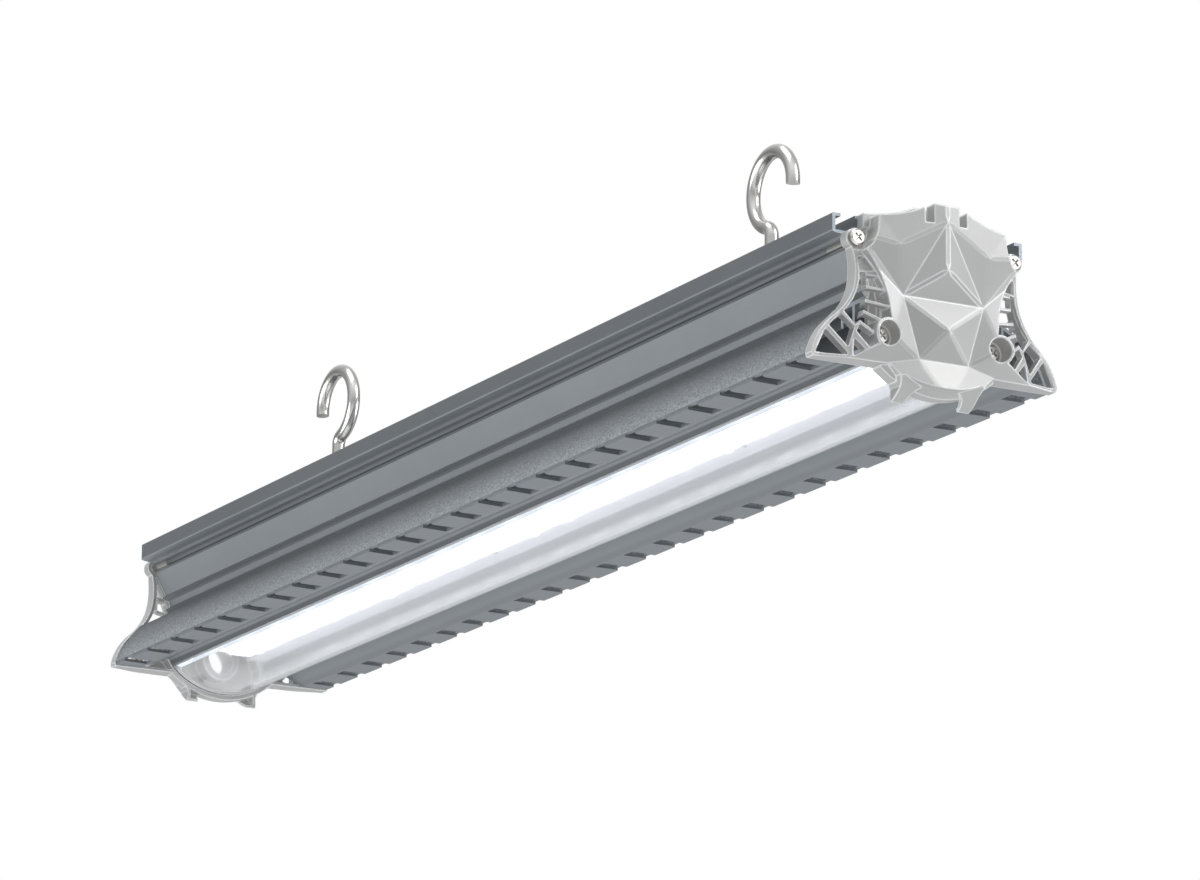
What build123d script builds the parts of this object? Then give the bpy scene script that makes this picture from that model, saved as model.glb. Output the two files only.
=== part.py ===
from build123d import *
from itertools import combinations
from math import asin, cos, degrees, radians, sin, sqrt
import os

# A hanging linear light fixture: an extruded housing with louvred wings, a curved lens,
# moulded end caps and two wire hooks in its top channel.
# X runs along the length, Y across, Z up. The part stands on the four feet of its caps.
# Outlines across the part are given as (y, z) with z above the underside of the wing plates.
# Depths of the caps are measured outwards from the ends of the housing.

# Overall sizes
half_length = 428.0
plate_level = 17.7
sheet = 1.7

# Top rail of the housing
rail_top = 80.6
floor_top = 71.4
floor_under = 69.7
rail_half = 58.8
rail_wall = 1.9
slot_inner = 45.0
slot_outer = 53.8
slot_wall_in = 41.6
slot_wall_out = 43.4
channel_lip = 38.5

# Body walls and the ports for the cap screws
web_under = 13.6
web_top = 16.6
wall_in = 36.0
wall_out = 38.9
upper_port = (48.46, 66.27)
lower_port = (34.17, 14.74)
port_bore = 2.5
port_outer = 4.3

# Lower side: wing plate, louvres and the lens seat
wing_tip = 75.4
fin_level = 1.9
plate_edge = 74.6
plate_bend = 57.8
lens_axis = 38.4
lens_radius = 50.0
lens_wall = 2.0
lens_edge = 36.0
lip_in = 33.9
lip_out = 35.3
lip_level = 6.3
groove_in = 31.5
groove_top = 10.1
rib_in = 30.2
seat_gap = 0.3
lens_foot = 2.1
louvre_count = 25
louvre_pitch = 2 * half_length / louvre_count
inlet_notch_width = 34.0
inlet_notch_length = 18.0

# End caps
seal = 1.2
land_depth = 3.4
crown_depth = 6.0
crown_half = 43.5
tab_back = 11.2
rim_depth = 6.8
rim_wall = 2.2
window_round = 0.5
bar_depth = 5.0
shield_wall = 3.3
ridge_band = 1.2
screw_seat = 6.5
boss_radius = 5.5
head_clear = 7.3
recess_radius = 6.6
recess_wall = 1.6
cap_hole = 2.75
flange_radius = 53.1
flange_inner = 46.4
flange_fall = 3.5
flange_flat = 8.0
flange_front = 14.6
foot_out = 24.0
foot_in = 16.9
foot_wall = 1.9
foot_floor = 1.7
inlet_height = 11.2
inlet_bore = 8.1
inlet_boss = 12.3
inlet_face = 16.5

# Cap screws
shank_radius = 2.4
shank_length = 26.0
head_radius = 4.5
head_height = 3.0

# Light engine
board_half = 12.0
board_thick = 1.6
board_inset = 18.0
board_gap = 1.0
led_size = 5.0
led_high = 1.1
led_pitch = 44.0
led_count = 18
small_screw = 1.5
screw_hole = 1.7
small_screw_head = 1.8
driver_place = 60.0
driver_length = 280.0
driver_width = 52.0
driver_height = 30.0
bracket_thick = 3.0
bracket_ear = 14.0
terminal_inset = 44.0

# Hooks
hook_place = 266.0
wire_radius = 4.0
eye_radius = 21.5
eye_height = 144.0
eye_shift = 1.5
bend_radius = 6.0
tip_angle = -6.0
plate_length = 60.0
plate_thick = 3.0
plate_gap = 0.6
washer_thick = 1.6
washer_radius = 8.0
nut_across = 13.0
nut_height = 6.5
lock_nut_height = 3.2
thread_gap = 0.1

os.makedirs("parts", exist_ok=True)


def section(x):
    """Plane across the part at x, with local x along Y and local y up from the wing plates."""
    return Plane(origin=(x, 0, plate_level), x_dir=(0, 1, 0), z_dir=(1, 0, 0))


def both(point):
    """The two mirrored places of a point given as (y, z) on the section."""
    return [point, (-point[0], point[1])]


def turned(part):
    """The same piece at the other end: half a turn about the upright axis."""
    return part.rotate(Axis.Z, 180)


# Places of the screws that hold the LED boards and the driver to the web
board_end = half_length - board_inset
board_length = board_end - board_gap / 2
board_places = (-(board_end + board_gap / 2) / 2, (board_end + board_gap / 2) / 2)
board_spots = [
    (middle + board_length * step / 4 * 0.9, side * (board_half - 4))
    for middle in board_places for step in (-2, 0, 2) for side in (-1, 1)
]
driver_spots = [
    (driver_place + end * (driver_length + bracket_ear) / 2, side * (driver_width / 2 - 8))
    for end in (-1, 1) for side in (-1, 1)
]


def on_slanted_wall(z, inset):
    """Y of the slanted body wall at a height, moved inwards by a wall thickness."""
    run = (48.9 - 41.2) / (62.85 - 49.0)
    return 41.2 + (z - 49.0) * run - inset * sqrt(1 + run * run)


# Housing, one extrusion from end to end
port_y, port_z = upper_port
low_y, low_z = lower_port

# One louvre of the left wing, about its own middle
with BuildSketch() as louvre:
    with BuildLine():
        Polyline((-4.0, -77.0), (-5.7, -58.5), (5.0, -58.5), (4.9, -71.9))
        ThreePointArc((4.9, -71.9), (6.4, -74.6), (9.4, -77.0))
        Line((9.4, -77.0), (-4.0, -77.0))
    make_face()

with BuildPart() as housing:
    with BuildSketch(section(-half_length)):
        with BuildLine():
            Polyline(
                (0, web_under), (0, floor_top), (slot_wall_in, floor_top),
                (slot_wall_in, rail_top - sheet), (channel_lip, rail_top - sheet), (channel_lip, rail_top),
                (slot_inner, rail_top), (slot_inner, rail_top - sheet), (slot_wall_out, rail_top - sheet),
                (slot_wall_out, floor_top), (rail_half - rail_wall, floor_top),
                (rail_half - rail_wall, rail_top - sheet), (slot_outer, rail_top - sheet),
                (slot_outer, rail_top), (rail_half - 0.8, rail_top),
            )
            RadiusArc((rail_half - 0.8, rail_top), (rail_half, rail_top - 0.8), 0.8)
            Polyline(
                (rail_half, rail_top - 0.8), (rail_half, floor_top - 1), (56.6, 69.85), (52.0, 69.4),
                (49.6, 63.0), (48.9, 62.85), (41.2, 49.0), (43.25, 47.2), (41.6, 45.8),
                (38.7, 45.6), (37.8, 41.9), (41.1, 39.6), (39.2, 37.7), (51.8, 30.4), (58.7, 26.8),
            )
            ThreePointArc((58.7, 26.8), (68.6, 14.6), (wing_tip, fin_level))
            Polyline(
                (wing_tip, fin_level), (plate_edge, fin_level), (plate_edge, 0), (plate_bend, 0),
                (38.7, 8.0),
            )
            ThreePointArc((38.7, 8.0), (36.9, 6.3), (35.9, 4.1))
            Polyline(
                (35.9, 4.1), (lip_in, 4.3), (lip_in, lip_level), (lip_out, lip_level), (lip_out, groove_top),
                (groove_in, groove_top), (groove_in, lip_level), (rib_in, lip_level), (rib_in, web_under),
                (0, web_under),
            )
        make_face()
        with Locations(lower_port):
            Circle(port_outer)
        with Locations((port_y - 0.4, port_z)):
            Circle(port_outer - 0.4)
        with Locations(upper_port):
            Circle(port_bore, mode=Mode.SUBTRACT)
        with BuildLine():
            Polyline(
                (0, web_top), (0, floor_under), (42.6, floor_under), (43.8, 68.0),
                (43.8, 59.0), (on_slanted_wall(58.0, 2.2), 58.0), (on_slanted_wall(50.0, 2.2), 50.0),
                (36.5, 46.1), (wall_in, 42.0), (wall_in, low_z + port_outer),
                (low_y, low_z + port_outer),
            )
            RadiusArc(
                (low_y, low_z + port_outer),
                (low_y - sqrt(port_outer ** 2 - (web_top - low_z) ** 2), web_top), -port_outer,
            )
            Line((low_y - sqrt(port_outer ** 2 - (web_top - low_z) ** 2), web_top), (0, web_top))
        make_face(mode=Mode.SUBTRACT)
        with BuildLine():
            Polyline(
                (71.6, 3.6), (72.2, sheet), (58.2, sheet), (wall_out, 9.8), (wall_out, 35.6), (50.9, 28.8),
                (57.6, 25.1),
            )
            ThreePointArc((57.6, 25.1), (66.8, 13.7), (71.6, 3.6))
        make_face(mode=Mode.SUBTRACT)
        for rib_y, rib_top in ((46.0, 33.0), (53.0, 29.0)):
            with Locations((rib_y, rib_top)):
                Rectangle(1.4, 11.0, align=(Align.CENTER, Align.MAX))
        with Locations(upper_port, lower_port):
            Circle(port_bore, mode=Mode.SUBTRACT)
        # Open mouth of the upper port
        with BuildLine():
            Polyline(
                upper_port, (port_y + 2.6, port_z + 2.9), (port_y + 5.6, port_z + 2.9),
                (port_y + 5.6, port_z - 4.8), (port_y + 0.9, port_z - 4.8), close=True,
            )
        make_face(mode=Mode.SUBTRACT)
        mirror(about=Plane.YZ)
    extrude(amount=2 * half_length)
    # Louvres, milled from below through the plates up to the lower edge of each fin
    with BuildSketch(Plane.XY.offset(plate_level - 1)):
        with GridLocations(louvre_pitch, 0, louvre_count, 1):
            add(louvre.sketch)
            add(louvre.sketch, rotation=180)
    extrude(amount=1 + fin_level, mode=Mode.SUBTRACT)
    # Room at the inlet end for the supply leads to pass through the web
    with BuildSketch(Plane.XY.offset(plate_level + web_under - 1)):
        with Locations((-half_length + inlet_notch_length / 2, 0)):
            Rectangle(inlet_notch_length, inlet_notch_width)
        with Locations(*board_spots, *driver_spots):
            Circle(small_screw + thread_gap / 2)
    extrude(amount=web_top - web_under + 2, mode=Mode.SUBTRACT)
housing.part.label = "housing"
export_step(housing.part, "parts/housing.step")

# Clear lens, slid in lengthwise: its two feet rest on the lips of the housing
with BuildPart() as lens:
    with BuildSketch(section(-half_length)):
        inner = lens_radius - lens_wall
        edge_z = lens_axis - sqrt(lens_radius ** 2 - lens_edge ** 2)
        leg_in = groove_in + seat_gap
        leg_out = lip_in - seat_gap
        leg_z = lens_axis - sqrt(inner ** 2 - leg_in ** 2)
        with BuildLine():
            low = (20, lens_axis - sqrt(lens_radius ** 2 - 400))
            ThreePointArc((0, lens_axis - lens_radius), low, (lens_edge, edge_z))
            Polyline(
                (lens_edge, edge_z), (leg_out, edge_z + 0.2), (leg_out, lip_level),
                (lip_out - seat_gap, lip_level), (lip_out - seat_gap, lip_level + lens_foot),
                (leg_in, lip_level + lens_foot), (leg_in, leg_z),
            )
            ThreePointArc((leg_in, leg_z), (17, lens_axis - sqrt(inner ** 2 - 289)), (0, lens_axis - inner))
            Line((0, lens_axis - inner), (0, lens_axis - lens_radius))
        make_face()
        mirror(about=Plane.YZ)
    extrude(amount=2 * half_length)
lens.part.label = "lens"
export_step(lens.part, "parts/lens.step")

# Sealing strips above the feet of the lens
for side, sign in (("left", -1), ("right", 1)):
    with BuildPart() as strip:
        with BuildSketch(section(-half_length)):
            with Locations((sign * (groove_in + lip_out) / 2, (lip_level + lens_foot + groove_top) / 2)):
                Rectangle(lip_out - groove_in - 2 * seat_gap, groove_top - lip_level - lens_foot)
        extrude(amount=2 * half_length)
    strip.part.label = f"lens_seal_{side}"
    export_step(strip.part, f"parts/lens_seal_{side}.step")


# Corners of the shield on the near cap, as (depth, y, z). Those on its outer edge lie beyond
# the outline, which trims them.
crest_top = (19.9, 0, 95.0)
crest_high = (20.4, 0, 78.7)
crest_low = (20.4, 0, 52.4)
brow = (20.7, 0, 19.7)
shoulder = (17.1, 27.6, 63.7)
dip = (14.8, 24.7, 36.5)
cheek = (17.9, 34.17, 14.74)
chin = (14.7, 14.8, 3.2)
jaw = (17.4, 50.0, 14.0)
jaw_low = (10.4, 50.0, -3.8)
corner_high = (13.3, 48.3, 91.1)
corner_side = (14.4, 50.0, 67.1)
side_low = (14.2, 50.0, 58.0)
keel = (19.0, 1.15, -16.2)
keel_out = (13.8, 50.0, -32.0)
facets = [
    (crest_high, crest_top, corner_high), (crest_high, corner_high, shoulder),
    (shoulder, corner_high, corner_side), (shoulder, corner_side, dip), (corner_side, side_low, dip),
    (side_low, cheek, dip), (shoulder, dip, crest_high), (crest_high, dip, crest_low),
    (dip, brow, chin), (dip, chin, cheek), (chin, keel, keel_out), (chin, keel_out, jaw_low),
    (chin, jaw_low, jaw), (chin, jaw, cheek), (cheek, jaw, side_low),
]
middle_facets = [(crest_low, dip), (brow, dip), (brow, chin)]
shield_edge = [crest_top, corner_high, corner_side, side_low, jaw, jaw_low, keel_out, keel]
block_back = -8.0


def flipped(point):
    """A point on the other side of the middle plane."""
    return (point[0], -point[1], point[2])


def placed(point):
    """The place in space of a corner given as (depth, y, z)."""
    return Vector(half_length + point[0], point[1], plate_level + point[2])


def flat(*points):
    """A flat face through corners given as (depth, y, z)."""
    return Face(Wire.make_polygon([placed(point) for point in points], close=True))


def whole_front():
    """The facets on both sides and those across the middle, as lists of corners."""
    front = facets + [tuple(flipped(point) for point in facet) for facet in facets]
    front += [(middle, out, flipped(out)) for middle, out in middle_facets]
    return front + [(chin, flipped(chin), flipped(keel), keel)]


def faceted_block():
    """A solid whose front is the facets of the shield and whose back is a plane."""
    faces = [flat(*facet) for facet in whole_front()]
    ring = shield_edge + [flipped(point) for point in reversed(shield_edge[1:])]
    back = [(block_back, y, z) for _, y, z in ring]
    for here in range(len(ring)):
        after = (here + 1) % len(ring)
        faces.append(flat(ring[here], ring[after], back[after], back[here]))
    faces.append(flat(*back))
    return Solid(Shell(faces))


def facing(facet):
    """Direction square to a facet, towards the front of the cap."""
    a, b, c = (placed(point) for point in facet[:3])
    normal = (b - a).cross(c - a).normalized()
    return normal if normal.X > 0 else -normal


def slope(*corners):
    """Plane through three corners, facing the front of the cap."""
    return Plane(origin=placed(corners[0]), z_dir=facing(corners))


def ridge_cuts():
    """Thin wedges along the ridges between facets. Cut off, they leave flat bands."""
    wedges = []
    for one, other in combinations(whole_front(), 2):
        shared = [point for point in one if point in other]
        apart = [point for point in other if point not in shared]
        if len(shared) < 2:
            continue
        start, end = placed(shared[0]), placed(shared[1])
        if (placed(apart[0]) - start).dot(facing(one)) > -0.6:
            continue
        along = (end - start).normalized()
        top = (facing(one) + facing(other)).normalized() * 0.8
        rims = []
        for facet in (one, other):
            side = facing(facet).cross(along).normalized()
            inward = [placed(point) - start for point in facet if point not in shared][0]
            rims.append(side * ridge_band if side.dot(inward) > 0 else side * -ridge_band)
        taper = along * min(3.0, (end - start).length / 4)
        near = [start + taper + rims[0], start + taper + rims[1], start + taper + top]
        far = [end - taper + rims[0], end - taper + rims[1], end - taper + top]
        faces = []
        for here in range(3):
            after = (here + 1) % 3
            faces.append(Face(Wire.make_polygon([near[here], near[after], start], close=True)))
            faces.append(Face(Wire.make_polygon([far[here], far[after], end], close=True)))
            around = [near[here], near[after], far[after], far[here]]
            faces.append(Face(Wire.make_polygon(around, close=True)))
        wedges.append(Solid(Shell(faces)))
    return wedges


# The open grille beside the shield: its sloping front on one side, given at three corners
grille_front = ((13.05, 50.0, 1.5), (7.75, 50.0, 53.0), (6.0, 68.0, 18.5))
windows = [
    ((47.6, 55.6), (45.0, 55.5), (40.5, 49.0), (47.3, 48.7)),
    ((47.3, 46.8), (47.4, 43.6), (49.0, 37.4), (51.6, 31.5), (56.4, 25.2), (51.4, 18.5), (49.0, 21.1),
     (47.4, 26.0), (45.9, 33.0), (45.1, 40.0), (45.0, 47.0)),
    ((43.9, 45.3), (43.9, 40.4), (36.1, 39.4), (38.6, 44.8)),
    ((44.4, 38.0), (44.9, 32.7), (32.9, 30.2), (35.0, 37.0)),
    ((45.4, 30.2), (46.3, 26.5), (35.0, 21.3), (31.4, 22.4), (32.4, 27.9)),
    ((46.8, 24.0), (48.3, 20.5), (41.0, 14.8), (38.0, 19.8)),
    ((67.0, 14.0), (72.6, 1.6), (57.0, 1.4), (56.9, 2.2)),
    ((58.7, 23.4), (64.7, 17.0), (56.0, 6.3), (52.5, 16.7)),
    ((52.2, 9.6), (53.0, 1.4), (47.6, 4.5)),
    ((48.9, 17.8), (50.5, 14.4), (44.4, 6.5), (40.3, 9.1), (41.3, 12.3)),
]


# Half of the rim beside the shield
with BuildSketch() as wing_rim:
    with BuildLine():
        Line((44.0, 64.0), (51.0, 61.5))
        ThreePointArc((51.0, 61.5), (49.7, 50.5), (51.4, 38.1))
        ThreePointArc((51.4, 38.1), (55.6, 30.0), (62.0, 22.8))
        ThreePointArc((62.0, 22.8), (70.2, 14.2), (wing_tip + 0.2, 1.2))
        Polyline(
            (wing_tip + 0.2, 1.2), (wing_tip - 0.7, -0.8), (32.0, -0.8), (32.0, 40.0), (36.5, 50.0),
            (44.0, 64.0),
        )
    make_face()

# Half of the seal between housing and cap: the face inside its outer and its inner edge
seal_out = lens_radius - 0.2
seal_in = lens_radius - lens_wall - 0.2
with BuildSketch() as seal_outer:
    with BuildLine():
        edge = (35.4, lens_axis - sqrt(seal_out ** 2 - 35.4 ** 2))
        Polyline(
            (0, 71.2), (42.9, 71.2), (45.2, 69.4), (45.2, 63.4), (47.3, 61.0), (40.8, 49.5), (38.5, 46.0),
            (37.6, 42.0), (38.6, 36.5), (38.6, 9.0), edge,
        )
        ThreePointArc(edge, (18.0, lens_axis - sqrt(seal_out ** 2 - 18.0 ** 2)), (0, lens_axis - seal_out))
        Line((0, lens_axis - seal_out), (0, 71.2))
    make_face()
with BuildSketch() as seal_inner:
    with BuildLine():
        edge = (33.6, lens_axis - sqrt(seal_in ** 2 - 33.6 ** 2))
        Polyline(
            (0, 69.7), (42.6, 69.7), (43.6, 68.4), (43.6, 58.6), (38.9, 50.2), (36.5, 46.1), (36.0, 42.0),
            (36.0, 19.5), (37.0, 17.5), (37.0, 10.2), edge,
        )
        ThreePointArc(edge, (18.0, lens_axis - sqrt(seal_in ** 2 - 18.0 ** 2)), (0, lens_axis - seal_in))
        Line((0, lens_axis - seal_in), (0, 69.7))
    make_face()


# The shield: its outline cut out of the faceted block, with a flat band along every ridge
with BuildPart() as shield:
    with BuildSketch(section(half_length)):
        with BuildLine():
            Polyline((0, 87.6), (7.65, 88.0), (7.65, 77.5), (12.75, 77.5), (12.75, 85.9))
            ThreePointArc((12.75, 85.9), (25.5, 81.0), (38.9, 78.8))
            Line((38.9, 78.8), (39.5, 73.5))
            ThreePointArc((39.5, 73.5), (port_y - head_clear, port_z), (46.6, 59.2))
            ThreePointArc((46.6, 59.2), (38.2, 46.5), (33.2, 26.0))
            Line((33.2, 26.0), (32.6, 22.6))
            ThreePointArc((32.6, 22.6), (low_y + recess_radius + recess_wall, low_z), (37.6, 7.3))
            Line((37.6, 7.3), (33.0, 0.3))
            ThreePointArc((33.0, 0.3), (17.2, -8.4), (0, -11.3))
            Line((0, -11.3), (0, 87.6))
        make_face()
        mirror(about=Plane.YZ)
    extrude(amount=30)
    add(faceted_block(), mode=Mode.INTERSECT)
    # Open space between the tab at the top and the crown
    with BuildSketch(section(half_length + crown_depth)):
        with Locations((0, 77.5)):
            Rectangle(2 * 12.75, 15, align=(Align.CENTER, Align.MIN))
    extrude(amount=tab_back - crown_depth, mode=Mode.SUBTRACT)
    add(ridge_cuts(), mode=Mode.SUBTRACT)

# Side plane of the cap, with local x as depth and local y up from the wing plates
side_plane = Plane(origin=(half_length, 0, plate_level), x_dir=(1, 0, 0), z_dir=(0, -1, 0))

# Room inside the two feet, open towards the back and the middle
with BuildPart() as foot_room:
    with BuildSketch(section(half_length)):
        with BuildLine():
            Polyline(
                (foot_out - foot_wall, foot_floor - plate_level), (foot_out - foot_wall, -10.5),
                (26.0, -4.0), (6.0, -4.0), (6.0, foot_floor - plate_level), close=True,
            )
        make_face()
        mirror(about=Plane.YZ)
    extrude(amount=flange_front)
    with BuildSketch(side_plane):
        with BuildLine():
            Polyline(
                (1.0, foot_floor - plate_level), (0, foot_floor - plate_level), (0, 0), (12.9, 0),
                (12.9, -5.0),
            )
            ThreePointArc((12.9, -5.0), (7.4, -11.4), (1.0, foot_floor - plate_level))
        make_face()
    extrude(amount=30, both=True, mode=Mode.INTERSECT)

# Curved flange below the lens, turned about the axis of the lens, with the two feet
with BuildPart() as skirt:
    with BuildSketch(section(half_length)):
        with BuildLine():
            Polyline(
                (10.0, -10.3), (10.0, -8.5), (20.0, -5.5), (31.0, 0.5), (31.0, -1.5), (26.0, -6.0),
                (foot_out, -11.0), (foot_out, -plate_level), (foot_in, -plate_level),
            )
            ThreePointArc((foot_in, -plate_level), (14.6, -12.9), (10.0, -10.3))
        make_face()
        mirror(about=Plane.YZ)
    extrude(amount=20)
    with BuildSketch(side_plane):
        with BuildLine():
            Polyline((1.0, -plate_level), (0, -plate_level), (0, 4), (14.8, 4), (14.8, -5.5))
            ThreePointArc((14.8, -5.5), (8.9, -12.7), (1.0, -plate_level))
        make_face()
    extrude(amount=40, both=True, mode=Mode.INTERSECT)
    add(foot_room.part, mode=Mode.SUBTRACT)
    sweep_half = degrees(asin(35.0 / flange_radius))
    flange_start = Plane(
        origin=(half_length, 0, plate_level + lens_axis), x_dir=(1, 0, 0),
        z_dir=(0, cos(radians(-sweep_half)), sin(radians(-sweep_half))),
    )
    with BuildSketch(flange_start):
        with BuildLine():
            flange_face = flange_radius - flange_fall
            Polyline(
                (flange_front, flange_face), (flange_front, flange_inner), (0, flange_inner),
                (0, flange_radius), (flange_flat, flange_radius),
            )
            cove = ((flange_flat + flange_front) / 2 - 0.9, flange_radius - flange_fall / 2 - 0.75)
            ThreePointArc((flange_flat, flange_radius), cove, (flange_front, flange_face))
        make_face()
    revolve(axis=Axis((0, 0, plate_level + lens_axis), (1, 0, 0)), revolution_arc=2 * sweep_half)
    add(faceted_block(), mode=Mode.INTERSECT)

# Open room behind the bars of the grille
with BuildPart() as grille_room:
    with BuildSketch(section(half_length)):
        add(wing_rim.sketch)
        offset(amount=-rim_wall)
        mirror(about=Plane.YZ)
    extrude(amount=22)
    for corners in (grille_front, (chin, jaw_low, jaw)):
        for side in (corners, [flipped(point) for point in corners]):
            split(bisect_by=slope(*side).offset(-bar_depth), keep=Keep.BOTTOM)

with BuildPart() as cap_near:
    with BuildSketch(section(half_length)):
        add(wing_rim.sketch)
        mirror(about=Plane.YZ)
    extrude(amount=22)
    for corners in (grille_front, (chin, jaw_low, jaw)):
        split(bisect_by=slope(*corners), keep=Keep.BOTTOM)
        split(bisect_by=slope(*[flipped(point) for point in corners]), keep=Keep.BOTTOM)
    with BuildSketch(section(half_length)):
        for window in windows:
            with BuildLine():
                Polyline(*window, close=True)
            make_face()
        offset(amount=window_round, kind=Kind.ARC)
        mirror(about=Plane.YZ)
    extrude(amount=22, mode=Mode.SUBTRACT)
    add(grille_room.part, mode=Mode.SUBTRACT)
    with BuildSketch(section(half_length)):
        add(wing_rim.sketch)
        offset(amount=-rim_wall, mode=Mode.SUBTRACT)
        mirror(about=Plane.YZ)
    extrude(amount=rim_depth)
    # Land that the seal presses on
    with BuildSketch(section(half_length)):
        add(seal_outer.sketch)
        offset(amount=0.7)
        mirror(about=Plane.YZ)
    extrude(amount=land_depth)
    # Bosses of the upper screws and the taller rim behind the shield
    with BuildSketch(section(half_length)):
        with Locations(*both(upper_port)):
            Circle(boss_radius)
    extrude(amount=screw_seat)
    with BuildSketch(section(half_length)):
        with BuildLine():
            Polyline((0, 68.0), (0, 88.9), (12.75, 88.3))
            ThreePointArc((12.75, 88.3), (25.5, 83.5), (38.9, 81.3))
            Polyline(
                (38.9, 81.3), (crown_half, 80.8), (crown_half, 73.0), (39.5, 73.0), (36.0, 68.0), (0, 68.0),
            )
        make_face()
        mirror(about=Plane.YZ)
    extrude(amount=crown_depth)
    add(shield.part)
    add(skirt.part)
    # Hollow behind the shield
    with BuildSketch(section(half_length)):
        inner_radius = flange_inner - 0.4
        with BuildLine():
            Polyline(
                (0, 68.0), (36.0, 68.0), (36.0, 58.0), (33.5, 48.0), (31.0, 38.0), (29.3, 28.0),
                (28.5, 22.0),
            )
            ThreePointArc((28.5, 22.0), (low_y - 9.2, low_z), (27.5, 8.4))
            low = (27.5, lens_axis - sqrt(inner_radius ** 2 - 27.5 ** 2))
            middle = (14.0, lens_axis - sqrt(inner_radius ** 2 - 14.0 ** 2))
            Line((27.5, 8.4), low)
            ThreePointArc(low, middle, (0, lens_axis - inner_radius))
            Line((0, lens_axis - inner_radius), (0, 68.0))
        make_face()
        mirror(about=Plane.YZ)
    extrude(amount=dip[0] - shield_wall, mode=Mode.SUBTRACT)
    with BuildSketch(section(half_length)):
        add(seal_outer.sketch)
        add(seal_inner.sketch, mode=Mode.SUBTRACT)
        mirror(about=Plane.YZ)
    extrude(amount=seal, mode=Mode.SUBTRACT)
    # Screw holes and the deep recesses of the lower screws
    with BuildSketch(section(half_length)):
        with Locations(*both(upper_port), *both(lower_port)):
            Circle(cap_hole)
    extrude(amount=screw_seat, mode=Mode.SUBTRACT)
    with BuildSketch(section(half_length + screw_seat)):
        with Locations(*both(lower_port)):
            Circle(recess_radius)
        with Locations(*both(upper_port)):
            Circle(head_clear - 0.5)
    extrude(amount=20, mode=Mode.SUBTRACT)
cap_near.part.label = "end_cap_near"
export_step(cap_near.part, "parts/end_cap_near.step")

# The far cap is the same moulding turned round, with the cable inlet bored through it
with BuildPart() as cap_far:
    add(turned(cap_near.part))
    with BuildSketch(section(-half_length)):
        with Locations((0, inlet_height)):
            Circle(inlet_boss)
    extrude(amount=-inlet_face)
    with BuildSketch(section(-half_length - inlet_face)):
        with Locations((0, inlet_height)):
            Circle(inlet_boss)
    extrude(amount=-10, mode=Mode.SUBTRACT)
    with BuildSketch(section(-half_length)):
        with Locations((0, inlet_height)):
            Circle(inlet_bore)
    extrude(amount=-30, mode=Mode.SUBTRACT)
cap_far.part.label = "end_cap_far"
export_step(cap_far.part, "parts/end_cap_far.step")

# Flat seals in the rebates of the caps
with BuildPart() as seal_near:
    with BuildSketch(section(half_length)):
        add(seal_outer.sketch)
        add(seal_inner.sketch, mode=Mode.SUBTRACT)
        mirror(about=Plane.YZ)
    extrude(amount=seal)
seal_near.part.label = "cap_seal_near"
export_step(seal_near.part, "parts/cap_seal_near.step")
seal_far = turned(seal_near.part)
seal_far.label = "cap_seal_far"
export_step(seal_far, "parts/cap_seal_far.step")


# Cap screws: pan heads with a cross recess
for row, port in (("upper", upper_port), ("lower", lower_port)):
    with BuildPart() as cap_screws:
        with BuildSketch(section(half_length + screw_seat)):
            with Locations(*both(port)):
                Circle(shank_radius)
        extrude(amount=-shank_length)
        with BuildSketch(section(half_length + screw_seat)):
            with Locations(*both(port)):
                Circle(head_radius)
        extrude(amount=head_height)
        chamfer(cap_screws.edges().filter_by(GeomType.CIRCLE).group_by(Axis.X)[-1], length=1.0)
        with BuildSketch(section(half_length + screw_seat + head_height)):
            with Locations(*both(port)):
                Rectangle(5.2, 1.1, rotation=45)
                Rectangle(5.2, 1.1, rotation=-45)
        extrude(amount=-1.8, mode=Mode.SUBTRACT)
        mirror(about=Plane.YZ)
    cap_screws.part.label = f"{row}_cap_screws"
    export_step(cap_screws.part, f"parts/{row}_cap_screws.step")

# LED boards under the web, one towards each end, with their LEDs and screws
for end, middle in zip(("far", "near"), board_places):
    with BuildPart() as board:
        with BuildSketch(Plane.XY.offset(plate_level + web_under)):
            with Locations((middle, 0)):
                Rectangle(board_length, 2 * board_half)
            with Locations(*[spot for spot in board_spots if abs(spot[0] - middle) < board_length / 2]):
                Circle(screw_hole, mode=Mode.SUBTRACT)
        extrude(amount=-board_thick)
    board.part.label = f"led_board_{end}"
    export_step(board.part, f"parts/led_board_{end}.step")

led_places = [(led_pitch * (place + 0.5), 0) for place in range(-led_count // 2, led_count // 2)]
with BuildPart() as leds:
    with BuildSketch(Plane.XY.offset(plate_level + web_under - board_thick)):
        with Locations(*led_places):
            Rectangle(led_size, led_size)
    extrude(amount=-led_high)
leds.part.label = "leds"
export_step(leds.part, "parts/leds.step")

with BuildPart() as board_screws:
    with BuildSketch(Plane.XY.offset(plate_level + web_under - board_thick)):
        with Locations(*board_spots):
            Circle(2 * small_screw)
    extrude(amount=-small_screw_head)
    with BuildSketch(Plane.XY.offset(plate_level + web_under - board_thick)):
        with Locations(*board_spots):
            Circle(small_screw)
    extrude(amount=board_thick + web_top - web_under)
board_screws.part.label = "board_screws"
export_step(board_screws.part, "parts/board_screws.step")

# Driver on the web: a bracket, the folded case on it and its screws
driver_level = plate_level + web_top
with BuildPart() as driver_bracket:
    with BuildSketch(Plane.XY.offset(driver_level)):
        with Locations((driver_place, 0)):
            Rectangle(driver_length + 2 * bracket_ear, driver_width)
        with Locations(*driver_spots):
            Circle(screw_hole, mode=Mode.SUBTRACT)
    extrude(amount=bracket_thick)
driver_bracket.part.label = "driver_bracket"
export_step(driver_bracket.part, "parts/driver_bracket.step")

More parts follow.
